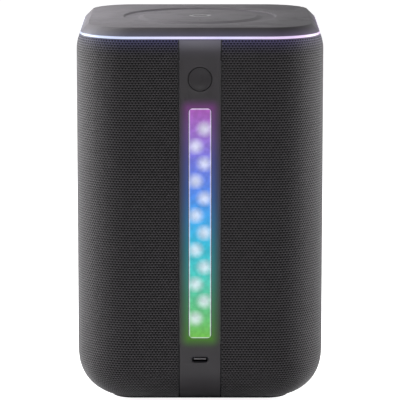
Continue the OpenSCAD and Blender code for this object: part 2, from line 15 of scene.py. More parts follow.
import bmesh
import bpy
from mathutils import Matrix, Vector


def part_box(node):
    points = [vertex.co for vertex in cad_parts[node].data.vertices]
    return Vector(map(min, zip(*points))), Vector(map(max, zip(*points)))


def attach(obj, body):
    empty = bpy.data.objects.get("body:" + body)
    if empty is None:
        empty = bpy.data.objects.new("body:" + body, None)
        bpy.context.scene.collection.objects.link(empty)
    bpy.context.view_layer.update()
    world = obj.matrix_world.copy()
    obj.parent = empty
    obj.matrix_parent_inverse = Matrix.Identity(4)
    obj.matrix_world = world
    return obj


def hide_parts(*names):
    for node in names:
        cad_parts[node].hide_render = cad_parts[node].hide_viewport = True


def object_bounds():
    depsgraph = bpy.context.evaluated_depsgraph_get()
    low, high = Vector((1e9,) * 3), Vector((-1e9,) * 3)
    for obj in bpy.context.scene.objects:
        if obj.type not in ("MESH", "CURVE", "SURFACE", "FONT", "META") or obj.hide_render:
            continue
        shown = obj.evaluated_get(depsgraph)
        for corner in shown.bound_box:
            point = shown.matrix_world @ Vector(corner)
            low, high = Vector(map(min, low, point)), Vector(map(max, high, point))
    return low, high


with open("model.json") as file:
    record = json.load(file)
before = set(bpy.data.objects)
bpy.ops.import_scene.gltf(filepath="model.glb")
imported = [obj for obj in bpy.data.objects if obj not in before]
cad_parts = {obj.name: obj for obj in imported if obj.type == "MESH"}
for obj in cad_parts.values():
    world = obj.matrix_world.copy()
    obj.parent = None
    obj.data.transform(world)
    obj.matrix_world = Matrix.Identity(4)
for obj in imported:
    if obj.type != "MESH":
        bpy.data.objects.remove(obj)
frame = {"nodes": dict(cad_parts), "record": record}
CAD_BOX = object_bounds()

log = logging.getLogger("speaker")

Level = tuple[float, float]
Place = tuple[float, float, float]
Test = Callable[[Vector, Vector], bool]

TOUCH = 1e-6
FACE_FRONT = (math.radians(90), 0.0, 0.0)
BLACK, WHITE = (0, 0, 0, 1), (1, 1, 1, 1)


# ---------- modelling by hand ----------


def activate(piece: bpy.types.Object) -> None:
    """Selects one piece alone and makes it the active one.

    Args:
        piece: The piece.
    """
    bpy.ops.object.select_all(action="DESELECT")
    piece.select_set(True)
    bpy.context.view_layer.objects.active = piece


@contextmanager
def editing(piece: bpy.types.Object) -> Iterator[None]:
    """Opens a piece in edit mode with all of it selected, and closes it again.

    Args:
        piece: The piece to open.

    Yields:
        Nothing, while the piece is open.
    """
    activate(piece)
    bpy.ops.object.mode_set(mode="EDIT")
    bpy.ops.mesh.select_mode(type="VERT")
    bpy.ops.mesh.select_all(action="SELECT")
    yield
    bpy.ops.object.mode_set(mode="OBJECT")


def pick_faces(test: Test) -> None:
    """Selects the open mesh's faces by their place and normal.

    Args:
        test: Takes a face's middle and its normal, and says whether it is wanted.
    """
    bpy.ops.mesh.select_mode(type="FACE")
    bpy.ops.mesh.select_all(action="DESELECT")
    mesh = bpy.context.edit_object.data
    shape = bmesh.from_edit_mesh(mesh)
    for face in shape.faces:
        face.select_set(test(face.calc_center_median(), face.normal))
    bmesh.update_edit_mesh(mesh)


def close_up(merge: float = 2e-6) -> None:
    """Merges the open mesh's doubles and points its faces outwards.

    Args:
        merge: Points closer than this become one.
    """
    bpy.ops.mesh.select_all(action="SELECT")
    bpy.ops.mesh.remove_doubles(threshold=merge)
    bpy.ops.mesh.normals_make_consistent(inside=False)


def apply_modifier(piece: bpy.types.Object, kind: str, **settings: object) -> None:
    """Adds a modifier to a piece and applies it.

    Args:
        piece: The piece to change.
        kind: Blender's name for the modifier.
        settings: The modifier's own settings.
    """
    activate(piece)
    modifier = piece.modifiers.new(kind.title(), kind)
    for key, value in settings.items():
        setattr(modifier, key, value)
    bpy.ops.object.modifier_apply(modifier=modifier.name)


def smooth(piece: bpy.types.Object, degrees: float = 28) -> None:
    """Shades a piece smooth, with edges sharper than an angle left crisp."""
    activate(piece)
    bpy.ops.object.shade_smooth_by_angle(angle=math.radians(degrees))


def soften(piece: bpy.types.Object, width: float, degrees: float = 28, segments: int = 3) -> None:
    """Rounds a piece's edges and shades it smooth.

    Args:
        piece: The piece to round.
        width: How far the rounding reaches from each edge.
        degrees: Edges that turn less than this are left.
        segments: Facets across the rounding.
    """
    apply_modifier(piece, "BEVEL", width=width, segments=segments,
                   limit_method="ANGLE", angle_limit=math.radians(degrees))
    smooth(piece)


def cut(piece: bpy.types.Object, *tools: bpy.types.Object) -> None:
    """Cuts tools out of a piece and removes them."""
    combine(piece, "DIFFERENCE", *tools)


def fuse(piece: bpy.types.Object, *others: bpy.types.Object) -> None:
    """Grows other solids into a piece and removes them."""
    combine(piece, "UNION", *others)


def combine(piece: bpy.types.Object, operation: str, *tools: bpy.types.Object) -> None:
    """Applies a Boolean between a piece and each tool, and removes the tools.

    Args:
        piece: The solid that stays.
        operation: Blender's name for the Boolean.
        tools: The solids that are used up.
    """
    for tool in tools:
        apply_modifier(piece, "BOOLEAN", operation=operation, object=tool, solver="EXACT")
        bpy.data.objects.remove(tool, do_unlink=True)


def join(piece: bpy.types.Object, *others: bpy.types.Object) -> bpy.types.Object:
    """Joins other pieces into the first one.

    Args:
        piece: The piece that keeps its name.
        others: The pieces that become part of it.

    Returns:
        The joined piece.
    """
    activate(piece)
    for other in others:
        other.select_set(True)
    bpy.ops.object.join()
    return piece


def settle(piece: bpy.types.Object, place: Sequence[float] = (0, 0, 0),
           turn: Sequence[float] = (0, 0, 0)) -> bpy.types.Object:
    """Turns and moves a piece and leaves its place in its mesh.

    Args:
        piece: The piece to place.
        place: Where its origin goes.
        turn: How it is turned about its origin, in radians.

    Returns:
        The same piece.
    """
    piece.location, piece.rotation_euler = place, turn
    activate(piece)
    bpy.ops.object.transform_apply(location=True, rotation=True, scale=True)
    return piece


def new_plane(name: str) -> bpy.types.Object:
    """Adds a square plane 1 m wide, with nothing else selected.

    Args:
        name: The plane's name.

    Returns:
        The plane.
    """
    bpy.ops.object.select_all(action="DESELECT")
    bpy.ops.mesh.primitive_plane_add(size=1)
    piece = bpy.context.active_object
    piece.name = name
    return piece


@dataclass(frozen=True)
class Outline:
    """A rectangle with rounded corners, seen from above."""

    width: float
    depth: float
    radius: float
    steps: int = 32


def raise_outline(name: str, outline: Outline, levels: Sequence[Level],
                  capped: bool = True) -> bpy.types.Object:
    """Raises an outline through levels, each no wider than the one before.

    Args:
        name: The new piece's name.
        outline: The outline at no inset.
        levels: The inset and the height of each level.
        capped: Whether both ends are closed.

    Returns:
        The new piece.
    """
    inset, height = levels[0]
    piece = new_plane(name)
    with editing(piece):
        bpy.ops.transform.resize(
            value=(outline.width - 2 * inset, outline.depth - 2 * inset, 1))
        bpy.ops.transform.translate(value=(0, 0, height))
        bpy.ops.mesh.bevel(affect="VERTICES", offset=outline.radius - inset,
                           segments=outline.steps, profile=0.5)
        for (inset, height), (next_inset, next_height) in zip(levels, levels[1:]):
            bpy.ops.mesh.inset(thickness=max(next_inset - inset, TOUCH),
                               depth=next_height - height,
                               use_boundary=True, use_even_offset=True)
        if capped:
            bpy.ops.mesh.select_all(action="DESELECT")
            bpy.ops.mesh.select_mode(type="EDGE")
            bpy.ops.mesh.select_non_manifold(use_wire=False, use_multi_face=False,
                                             use_non_contiguous=False, use_verts=False)
            bpy.ops.mesh.edge_face_add()
        else:
            bpy.ops.mesh.delete(type="ONLY_FACE")
        close_up(merge=TOUCH / 10)
    return piece


def draw_line(name: str, points: Sequence[Sequence[float]]) -> bpy.types.Object:
    """Draws a line of edges through points, by extruding one vertex.

    Args:
        name: The new piece's name.
        points: The line's points in order.

    Returns:
        The new piece, which has edges only.
    """
    piece = new_plane(name)
    with editing(piece):
        bpy.ops.mesh.merge(type="CENTER")
        bpy.ops.transform.translate(value=points[0])
        for start, end in zip(points, points[1:]):
            bpy.ops.mesh.extrude_vertices_move(
                TRANSFORM_OT_translate={"value": Vector(end) - Vector(start)})
    return piece


def turned(name: str, profile: Sequence[Level], steps: int = 96) -> bpy.types.Object:
    """Spins a profile about the upright axis, as on a lathe.

    Args:
        name: The new piece's name.
        profile: Radius and height of each point, in a loop or from axis to axis.
        steps: Facets round the piece.

    Returns:
        The new piece.
    """
    piece = draw_line(name, [(radius, 0, height) for radius, height in profile])
    with editing(piece):
        bpy.ops.mesh.spin(steps=steps, angle=math.tau, center=(0, 0, 0), axis=(0, 0, 1))
        close_up()
    return piece


def slab(name: str, outline: Outline, low: float, high: float) -> bpy.types.Object:
    """Makes a flat slab with rounded corners between two heights."""
    return raise_outline(name, outline, [(0, low), (0, high)])


def arc(centre: Level, radius: float, start: float, end: float, steps: int = 6) -> list[Level]:
    """Gives points along a circle in a profile.

    Args:
        centre: The circle's middle.
        radius: Its radius.
        start: Angle of the first point, in degrees.
        end: Angle of the last point, in degrees.
        steps: Facets along the arc.

    Returns:
        The points, both ends among them.
    """
    angles = [math.radians(start + (end - start) * i / steps) for i in range(steps + 1)]
    return [(centre[0] + radius * math.cos(a), centre[1] + radius * math.sin(a)) for a in angles]


# ---------- shader graphs ----------


def tint(red: int, green: int, blue: int) -> tuple[float, float, float, float]:
    """Gives a display colour from 0 to 255 as the linear colour that shaders use.

    Args:
        red: Red part.
        green: Green part.
        blue: Blue part.

    Returns:
        The linear colour, with a full alpha.
    """
    linear = [(c / 255 / 12.92) if c <= 10 else ((c / 255 + 0.055) / 1.055) ** 2.4
              for c in (red, green, blue)]
    return (*linear, 1.0)


class Graph:
    """Wires up one node tree."""

    def __init__(self, tree: bpy.types.NodeTree) -> None:
        """Takes the tree and empties it."""
        self.tree = tree
        tree.nodes.clear()

    def node(self, kind: str, inputs: dict[object, object] | None = None,
             **settings: object) -> bpy.types.Node:
        """Adds a node.

        Args:
            kind: Its type, without the ShaderNode in front.
            inputs: A value or an output for each named or numbered input.
            settings: The node's own settings.

        Returns:
            The new node.
        """
        node = self.tree.nodes.new(kind if kind.startswith("Node") else "ShaderNode" + kind)
        for key, value in settings.items():
            setattr(node, key, value)
        for key, value in (inputs or {}).items():
            self.feed(node.inputs[key], value)
        return node

    def feed(self, socket: bpy.types.NodeSocket, value: object) -> None:
        """Links an output to a socket, or sets the socket's own value.

        Args:
            socket: The input.
            value: An output, or a plain value.
        """
        if isinstance(value, bpy.types.NodeSocket):
            self.tree.links.new(value, socket)
        else:
            socket.default_value = value

    def math(self, operation: str, *values: object) -> bpy.types.NodeSocket:
        """Adds a Math node and returns its output."""
        return self.node("Math", dict(enumerate(values)), operation=operation).outputs[0]

    def minus(self, first: object, second: object) -> bpy.types.NodeSocket:
        """Returns the first value less the second."""
        return self.math("SUBTRACT", first, second)

    def times(self, first: object, second: object) -> bpy.types.NodeSocket:
        """Returns the product of two values."""
        return self.math("MULTIPLY", first, second)

    def over(self, first: object, second: object) -> bpy.types.NodeSocket:
        """Returns the first value divided by the second."""
        return self.math("DIVIDE", first, second)

    def total(self, *values: object) -> bpy.types.NodeSocket:
        """Adds values up and returns the sum.

        Args:
            values: Values or outputs.

        Returns:
            The sum.
        """
        result = values[0]
        for value in values[1:]:
            result = self.math("ADD", result, value)
        return result

    def length(self, *values: object) -> bpy.types.NodeSocket:
        """Returns the length of a vector with these parts."""
        return self.math("SQRT", self.total(*[self.times(v, v) for v in values]))

    def blend(self, factor: object, first: object, second: object,
              kind: str = "MIX") -> bpy.types.NodeSocket:
        """Mixes two colours.

        Args:
            factor: Share of the second colour.
            first: The first colour.
            second: The second colour.
            kind: How they are mixed.

        Returns:
            The mixed colour.
        """
        mix = self.node("Mix", data_type="RGBA", blend_type=kind)
        for number, value in ((0, factor), (6, first), (7, second)):
            self.feed(mix.inputs[number], value)
        return mix.outputs[2]

    def scaled(self, colour: object, factor: object) -> bpy.types.NodeSocket:
        """Returns a colour with each part multiplied by one factor."""
        return self.blend(1.0, colour, self.vector(factor, factor, factor), "MULTIPLY")

    def ramp(self, value: object, low: float, high: float, start: float = 0.0,
             end: float = 1.0, smooth_step: bool = True) -> bpy.types.NodeSocket:
        """Maps a value between two limits to another range.

        Args:
            value: What is mapped.
            low: The value that gives start.
            high: The value that gives end.
            start: Result at the low limit.
            end: Result at the high limit.
            smooth_step: Whether the change is eased at both ends.

        Returns:
            The mapped value.
        """
        return self.node(
            "MapRange", {0: value, 1: low, 2: high, 3: start, 4: end}, clamp=True,
            interpolation_type="SMOOTHSTEP" if smooth_step else "LINEAR").outputs[0]

    def noise(self, vector: object, size: object, detail: float = 2.0,
              rough: float = 0.5) -> bpy.types.NodeSocket:
        """Returns noise whose features have about a given size.

        Args:
            vector: Where it is read.
            size: Size of a feature, in metres.
            detail: How many finer layers it has.
            rough: How strong each finer layer is.

        Returns:
            The noise, from 0 to 1.
        """
        scaled = self.over(1.0, size)
        return self.node("TexNoise", {"Vector": vector, "Scale": scaled, "Detail": detail,
                                      "Roughness": rough}).outputs["Fac"]

    def parts(self, vector: object) -> list[bpy.types.NodeSocket]:
        """Splits a vector into its three parts."""
        return list(self.node("SeparateXYZ", {0: vector}).outputs)

    def vector(self, *values: object) -> bpy.types.NodeSocket:
        """Joins three values into a vector."""
        return self.node("CombineXYZ", dict(enumerate(values))).outputs[0]

    def place(self) -> bpy.types.NodeSocket:
        """Returns the place on the object, in metres."""
        return self.node("TexCoord").outputs["Object"]

    def ring_tint(self, place: bpy.types.NodeSocket) -> bpy.types.NodeSocket:
        """Returns the light ring's colour at a place."""
        return self.effect(Effect.RING_TINT, Vector=place).outputs["Colour"]

    def effect(self, kind: "Effect", **inputs: object) -> bpy.types.Node:
        """Places a shared effect and feeds its inputs.

        Args:
            kind: Which effect.
            inputs: A value or an output for each named input.

        Returns:
            The new group node.
        """
        node = self.node("Group", node_tree=kind.tree())
        for key, value in inputs.items():
            self.feed(node.inputs[key], value)
        return node


class Effect(Enum):
    """The shared effects, each a node group that is built once."""

    GRAIN = "fine_grain"
    BRUSHED = "brushed_streaks"
    WEAVE = "plain_weave"
    TRACES = "board_traces"
    HANDLING = "handling_marks"
    OPEN_KNIT = "open_knit"
    SPECTRUM = "bar_spectrum"
    LAMPS = "lamp_spots"
    BAR_HALO = "painted_bar_halo"
    RING_TINT = "ring_tint"

    def tree(self) -> bpy.types.NodeTree:
        """Returns the effect's node group, which is built at its first use."""
        found = bpy.data.node_groups.get(self.value)
        return found or EffectShop().build(self)


class EffectShop:
    """Builds the shared effects as node groups."""

    FLOAT, VECTOR, COLOUR = "NodeSocketFloat", "NodeSocketVector", "NodeSocketColor"
    LAST_LAMP = 11
    SPECTRUM = ((0.0, (104, 184, 52)), (0.16, (82, 192, 136)), (0.28, (62, 198, 190)),
                (0.40, (34, 186, 212)), (0.52, (54, 166, 236)), (0.63, (74, 136, 234)),
                (0.77, (108, 116, 222)), (0.88, (152, 110, 206)), (1.0, (166, 84, 180)))

    def build(self, effect: Effect) -> bpy.types.NodeTree:
        """Builds one effect.

        Args:
            effect: Which effect.

        Returns:
            Its node group.
        """
        tree = bpy.data.node_groups.new(effect.value, "ShaderNodeTree")
        getattr(self, effect.value)(Graph(tree))
        return tree

    def open(self, graph: Graph, inputs: dict[str, float | None],
             outputs: dict[str, str]) -> tuple[dict, bpy.types.Node]:
        """Gives a group its sockets.

        Args:
            graph: The group's graph.
            inputs: Each input's name and plain value, where None is a vector.
            outputs: Each output's name and socket type.

        Returns:
            The inputs inside the group by name, and the node that takes the outputs.
        """
        interface = graph.tree.interface
        for name, value in inputs.items():
            kind = self.VECTOR if value is None else self.FLOAT
            socket = interface.new_socket(name=name, in_out="INPUT", socket_type=kind)
            if value is not None:
                socket.default_value = value
        for name, kind in outputs.items():
            interface.new_socket(name=name, in_out="OUTPUT", socket_type=kind)
        source, target = graph.node("NodeGroupInput"), graph.node("NodeGroupOutput")
        return {name: source.outputs[name] for name in inputs}, target

    def surface(self, g: Graph, size: float) -> tuple[dict, Callable[..., None]]:
        """Opens an effect that gives a height and a shade.

        Args:
            g: The group's graph.
            size: The plain size of its pattern.

        Returns:
            Its inputs by name, and a function that takes the height and the shade.
        """
        given, out = self.open(g, {"Vector": None, "Size": size},
                               {"Height": self.FLOAT, "Shade": self.FLOAT})

        def give(height: object, shade: object) -> None:
            """Sends out the height and the shade."""
            g.feed(out.inputs["Height"], height)
            g.feed(out.inputs["Shade"], shade)

        return given, give

    def fine_grain(self, g: Graph) -> None:
        """Builds moulded grain: a height and a slow change of shade.

        Args:
            g: The group's graph.
        """
        given, give = self.surface(g, 0.0004)
        grain = g.noise(given["Vector"], given["Size"], 3, 0.6)
        slow = g.times(given["Size"], 40)
        give(grain, g.ramp(g.noise(given["Vector"], slow, 4), 0.3, 0.7))

    def brushed_streaks(self, g: Graph) -> None:
        """Builds fine streaks along X, as brushing or drawing leaves.

        Args:
            g: The group's graph.
        """
        given, give = self.surface(g, 0.0003)
        stretched = g.node("VectorMath", {0: given["Vector"], 1: (0.03, 1, 1)},
                           operation="MULTIPLY").outputs[0]
        streaks = g.noise(stretched, given["Size"], 3, 0.7)
        give(streaks, g.ramp(streaks, 0.3, 0.7))

    def plain_weave(self, g: Graph) -> None:
        """Builds a plain over-and-under weave.

        Args:
            g: The group's graph.
        """
        given, give = self.surface(g, 0.0004)
        x, y, z = g.parts(given["Vector"])
        across = g.math("SINE", g.over(g.total(x, z), given["Size"]))
        along = g.math("SINE", g.over(g.total(y, z), given["Size"]))
        weave = g.math("MULTIPLY_ADD", g.times(across, along), 0.5, 0.5)
        give(weave, weave)

    def board_traces(self, g: Graph) -> None:
        """Builds copper runs under a board's mask, in bent lines and round pads.

        Args:
            g: The group's graph.
        """
        given, give = self.surface(g, 0.0006)
        cells = g.over(0.12, given["Size"])
        runs = g.node("TexVoronoi", {"Vector": given["Vector"], "Scale": cells, "Randomness": 0.4},
                      feature="DISTANCE_TO_EDGE", distance="EUCLIDEAN").outputs["Distance"]
        pads = g.node("TexVoronoi", {"Vector": given["Vector"], "Scale": cells},
                      distance="MANHATTAN").outputs["Distance"]
        line = g.math("PINGPONG", g.times(runs, 6), 0.5)
        copper = g.math("MAXIMUM", g.ramp(line, 0.3, 0.36), g.ramp(pads, 0.16, 0.1))
        give(copper, copper)

    def handling_marks(self, g: Graph) -> None:
        """Builds faint smudges that change a surface's gloss.

        Args:
            g: The group's graph.
        """
        given, out = self.open(g, {"Vector": None, "Size": 0.03}, {"Mask": self.FLOAT})
        cloud = g.noise(given["Vector"], given["Size"], 5, 0.62)
        g.feed(out.inputs["Mask"], g.ramp(cloud, 0.42, 0.68))

    def open_knit(self, g: Graph) -> None:
        """Builds staggered rows of round holes between yarns, on a flat cut in metres.

        Args:
            g: The group's graph.
        """
        given, out = self.open(
            g, {"Vector": None, "Column": 0.00177, "Row": 0.001354},
            {"Hole": self.FLOAT, "Crest": self.FLOAT, "Height": self.FLOAT,
             "Thread": self.FLOAT})
        u, v, _ = g.parts(given["Vector"])
        rows = g.over(v, given["Row"])
        row = g.math("FLOOR", rows)
        stagger = g.times(g.math("FLOORED_MODULO", row, 2), 0.5)
        columns = g.total(g.over(u, given["Column"]), stagger)
        x = g.minus(g.math("FRACT", columns), 0.5)
        y = g.minus(g.math("FRACT", rows), 0.5)
        cell = g.vector(g.math("FLOOR", columns), row, 0.0)
        thread = g.node("TexWhiteNoise", {"Vector": cell}).outputs["Value"]
        away = g.length(g.over(x, 0.30),
                        g.over(g.math("ADD", y, 0.1), 0.37))
        hole = g.ramp(away, 1.15, 0.85)
        above = g.length(g.over(x, 0.36),
                         g.over(g.minus(y, 0.4), 0.2))
        crest = g.ramp(above, 1.3, 0.1)
        fuzz = g.noise(given["Vector"], 0.00022, 3, 0.7)
        height = g.total(g.times(g.minus(1, hole), 0.6),
                         g.times(crest, 0.3), g.times(fuzz, 0.12))
        for name, value in (("Hole", hole), ("Crest", crest), ("Height", height),
                            ("Thread", thread)):
            g.feed(out.inputs[name], value)

    def bar_spectrum(self, g: Graph) -> None:
        """Builds the light bar's colours from its lower end to its upper end.

        Args:
            g: The group's graph.
        """
        given, out = self.open(g, {"Vector": None, "Low": 0.0, "High": 1.0},
                               {"Colour": self.COLOUR})
        share = g.node("MapRange", {0: g.parts(given["Vector"])[2], 1: given["Low"],
                                    2: given["High"]}, clamp=True).outputs[0]
        ramp = g.node("ValToRGB", {0: share})
        marks = ramp.color_ramp.elements
        while len(marks) < len(self.SPECTRUM):
            marks.new(0.5)
        for mark, (place, colour) in zip(marks, self.SPECTRUM):
            mark.position, mark.color = place, tint(*colour)
        g.feed(out.inputs["Colour"], ramp.outputs[0])

    def lamp_spots(self, g: Graph) -> None:
        """Builds the soft spots of two staggered columns of lamps, from the top down.

        Args:
            g: The group's graph.
        """
        given, out = self.open(
            g, {"Vector": None, "First": 0.0, "Pitch": 0.01, "Side": 0.0024, "Blur": 0.004},
            {"Spot": self.FLOAT})
        x, _, z = g.parts(given["Vector"])
        steps = g.over(g.minus(given["First"], z), given["Pitch"])
        lamp = g.math("MINIMUM", g.math("MAXIMUM", g.math("ROUND", steps), 0),
                      self.LAST_LAMP)
        swing = g.math("MULTIPLY_ADD", g.math("FLOORED_MODULO", lamp, 2), -2, 1)
        off_x = g.minus(x, g.times(swing, given["Side"]))
        off_z = g.times(g.minus(steps, lamp), given["Pitch"])
        away = g.over(g.length(off_x, off_z), given["Blur"])
        g.feed(out.inputs["Spot"], g.ramp(away, 1.0, 0.0))

    def painted_bar_halo(self, g: Graph) -> None:
        """Builds the painted glow that fades away from a lit bar's edge.

        Args:
            g: The group's graph.
        """
        given, out = self.open(
            g, {"Vector": None, "Middle": 0.1, "Half Width": 0.006, "Half Length": 0.06,
                "Reach": 0.0062}, {"Glow": self.FLOAT})
        x, _, z = g.parts(given["Vector"])
        aside = g.math("MAXIMUM", g.minus(g.math("ABSOLUTE", x),
                                         given["Half Width"]), 0)
        beyond = g.math("ABSOLUTE", g.minus(z, given["Middle"]))
        beyond = g.math("MAXIMUM", g.minus(beyond, given["Half Length"]), 0)
        away = g.over(g.length(aside, beyond), given["Reach"])
        g.feed(out.inputs["Glow"], g.math("POWER", g.ramp(away, 1, 0, smooth_step=False), 1.6))

    def ring_tint(self, g: Graph) -> None:
        """Builds the light ring's colour, bluish on the left and pinkish on the right.

        Args:
            g: The group's graph.
        """
        given, out = self.open(g, {"Vector": None, "Half Width": 0.068},
                               {"Colour": self.COLOUR})
        x, y, _ = g.parts(given["Vector"])
        share = g.over(x, given["Half Width"])
        colour = g.blend(g.ramp(share, -0.9, 0.1), tint(214, 226, 255), tint(224, 218, 255))
        colour = g.blend(g.ramp(share, 0.2, 0.9), colour, tint(243, 214, 255))
        g.feed(out.inputs["Colour"], colour)


# ---------- finishes ----------


@dataclass(frozen=True)
class Finish:
    """A plain maker's finish: one colour with texture, relief and uneven gloss."""

    name: str
    colour: tuple[int, int, int]
    rough: float
    texture: Effect = Effect.GRAIN
    size: float = 0.0004
    relief: float = 0.00003
    mottle: float = 0.12
    metallic: float = 0.0
    coat: float = 0.0
    sheen: float = 0.0
    level: float = 0.5

    def make(self) -> bpy.types.Material:
        """Returns the finish as a material, made at its first use.

        Returns:
            The material.
        """
        label = f"look_{self.name}"
        found = bpy.data.materials.get(label)
        if found:
            return found
        material = bpy.data.materials.new(label)
        material.use_nodes = True
        graph = Graph(material.node_tree)
        shader = graph.node("BsdfPrincipled")
        output = graph.node("OutputMaterial")
        graph.feed(output.inputs["Surface"], shader.outputs[0])
        for socket, value in (("Metallic", self.metallic), ("Coat Weight", self.coat),
                              ("Sheen Weight", self.sheen), ("Specular IOR Level", self.level)):
            shader.inputs[socket].default_value = value
        self.dress(graph, shader)
        return material

    def dress(self, graph: Graph, shader: bpy.types.Node) -> None:
        """Wires the colour, gloss and relief.

        Args:
            graph: The material's graph.
            shader: Its Principled shader.
        """
        place = graph.place()
        texture = graph.effect(self.texture, Vector=place, Size=self.size)
        marks = graph.effect(Effect.HANDLING, Vector=place).outputs["Mask"]
        base = Vector(tint(*self.colour)[:3])
        dark = (*(base * (1 - self.mottle)), 1)
        light = (*(base * (1 + self.mottle)), 1)
        graph.feed(shader.inputs["Base Color"],
                   graph.blend(texture.outputs["Shade"], dark, light))
        graph.feed(shader.inputs["Roughness"],
                   graph.ramp(marks, 0, 1, max(self.rough - 0.05, 0.05), self.rough + 0.06))
        self.relieve(graph, shader, texture.outputs["Height"], self.relief)

    @staticmethod
    def light(graph: Graph, shader: bpy.types.Node, colour: bpy.types.NodeSocket,
              strength: float) -> None:
        """Makes the surface give off light of a colour."""
        graph.feed(shader.inputs["Emission Color"], colour)
        shader.inputs["Emission Strength"].default_value = strength

    @staticmethod
    def relieve(graph: Graph, shader: bpy.types.Node, height: bpy.types.NodeSocket,
                depth: float, strength: float = 0.6) -> None:
        """Feeds a height to the shader's normal.

        Args:
            graph: The material's graph.
            shader: Its Principled shader.
            height: The relief, from 0 to 1.
            depth: How deep it is.
            strength: How strongly it shows.
        """
        bump = graph.node("Bump", {"Strength": strength, "Distance": depth, "Height": height})
        graph.feed(shader.inputs["Normal"], bump.outputs[0])


FINISHES = {
    "mark_metal": Finish("mark_polished", (214, 214, 218), 0.16, Effect.BRUSHED, 0.0002,
                         0.000004, 0.05, metallic=1.0),
    "button_grey": Finish("key_satin", (52, 49, 52), 0.40, size=0.0003, relief=0.000012,
                          mottle=0.06),
    "icon_white": Finish("icon_print", (226, 226, 230), 0.5, size=0.0002, relief=0.000006,
                         mottle=0.03),
    "black_rubber": Finish("rubber_matt", (30, 30, 32), 0.82, size=0.0006, relief=0.00005),
    "black_plastic": Finish("plastic_black", (38, 38, 41), 0.55, size=0.0005, relief=0.00004),
    "white_plastic": Finish("plastic_white", (232, 232, 234), 0.45, size=0.0005, mottle=0.03),
    "circuit_green": Finish("board_green", (22, 92, 58), 0.30, Effect.TRACES, 0.0006, 0.00002,
                            0.45, coat=0.4),
    "chip_black": Finish("chip_black", (36, 36, 38), 0.5, size=0.0002, relief=0.00001),
    "lamp_ivory": Finish("lamp_ivory", (240, 234, 200), 0.25, size=0.0006, mottle=0.05,
                         coat=0.5),
    "steel": Finish("steel_plated", (190, 191, 196), 0.30, Effect.BRUSHED, 0.0003, 0.000006,
                    0.10, metallic=1.0),
    "port_steel": Finish("port_steel", (58, 58, 62), 0.34, Effect.BRUSHED, 0.0002, 0.000004,
                         0.08, metallic=1.0),
    "ferrite": Finish("ferrite_ground", (70, 70, 74), 0.62, size=0.0007, relief=0.00004,
                      mottle=0.2),
    "copper": Finish("copper_wire", (206, 132, 74), 0.28, Effect.BRUSHED, 0.0002, 0.00003,
                     0.15, metallic=1.0, coat=0.3),
    "paper_black": Finish("pulp_black", (44, 44, 46), 0.85, size=0.0009, relief=0.00012,
                          mottle=0.2),
    "spider_cloth": Finish("spider_weave", (188, 150, 92), 0.75, Effect.WEAVE, 0.00018,
                           0.00008, 0.2, sheen=0.2),
    "dome_silk": Finish("dome_silk", (96, 96, 102), 0.55, Effect.WEAVE, 0.00007, 0.00002,
                        0.12, sheen=0.3),
    "alloy": Finish("alloy_satin", (176, 178, 184), 0.36, Effect.BRUSHED, 0.0004, 0.000008,
                    0.08, metallic=1.0),
    "capacitor_sleeve": Finish("capacitor_sleeve", (34, 48, 92), 0.28, size=0.0008,
                               relief=0.00001, mottle=0.1, coat=0.3),
    "cable_cream": Finish("cable_cream", (222, 214, 186), 0.42, Effect.BRUSHED, 0.0006,
                          0.00004, 0.12),
    "gold": Finish("gold_plated", (222, 184, 104), 0.26, Effect.BRUSHED, 0.0003, 0.000005,
                   0.08, metallic=1.0),
}


@dataclass(frozen=True)
class KnitFinish(Finish):
    """Dark open knit, with painted highlights where the yarn crests catch the light, painted shade
    in the holes and a painted glow of the ring's light just under the ring.
    """

    ring_height: float = 0.2
    painted_spill: float = 0.012

    def dress(self, graph: Graph, shader: bpy.types.Node) -> None:
        """Wires the knit on the cut's own UV map.

        Args:
            graph: The material's graph.
            shader: Its Principled shader.
        """
        cut_map = graph.node("UVMap", uv_map=Sleeve.UV).outputs[0]
        place = graph.place()
        knit = graph.effect(Effect.OPEN_KNIT, Vector=cut_map)
        yarn = Vector(tint(*self.colour)[:3])
        shade = graph.blend(knit.outputs["Thread"], (*(yarn * 0.86), 1), (*(yarn * 1.14), 1))
        # Painted highlight: the yarn crests are painted 3.4 times lighter than the yarn, where
        # they catch the light.
        painted_crest_highlight = graph.blend(knit.outputs["Crest"], shade, (*(yarn * 3.4), 1))
        # Painted shade: the holes are painted almost black, for the dark inside seen through them.
        graph.feed(shader.inputs["Base Color"],
                   graph.blend(knit.outputs["Hole"], painted_crest_highlight, (*(yarn * 0.03), 1)))
        graph.feed(shader.inputs["Roughness"],
                   graph.ramp(knit.outputs["Crest"], 0, 1, self.rough, self.rough - 0.12))
        self.relieve(graph, shader, knit.outputs["Height"], self.relief, 0.7)
        shader.inputs["Sheen Roughness"].default_value = 0.35
        # Painted glow: the yarns just under the ring give off a little of the ring's light, fading
        # out within a short reach below it.
        painted_spill_mask = graph.ramp(graph.parts(place)[2], self.ring_height - self.painted_spill,
                          self.ring_height, smooth_step=False)
        solid = graph.minus(1, graph.times(knit.outputs["Hole"], 0.9))
        glow = graph.times(graph.math("POWER", painted_spill_mask, 3), solid)
        colour = graph.ring_tint(place)
        colour = graph.blend(0.7, colour, (0.22, 0.2, 1.0, 1), "MULTIPLY")
        self.light(graph, shader, graph.blend(glow, BLACK, colour), 0.1)


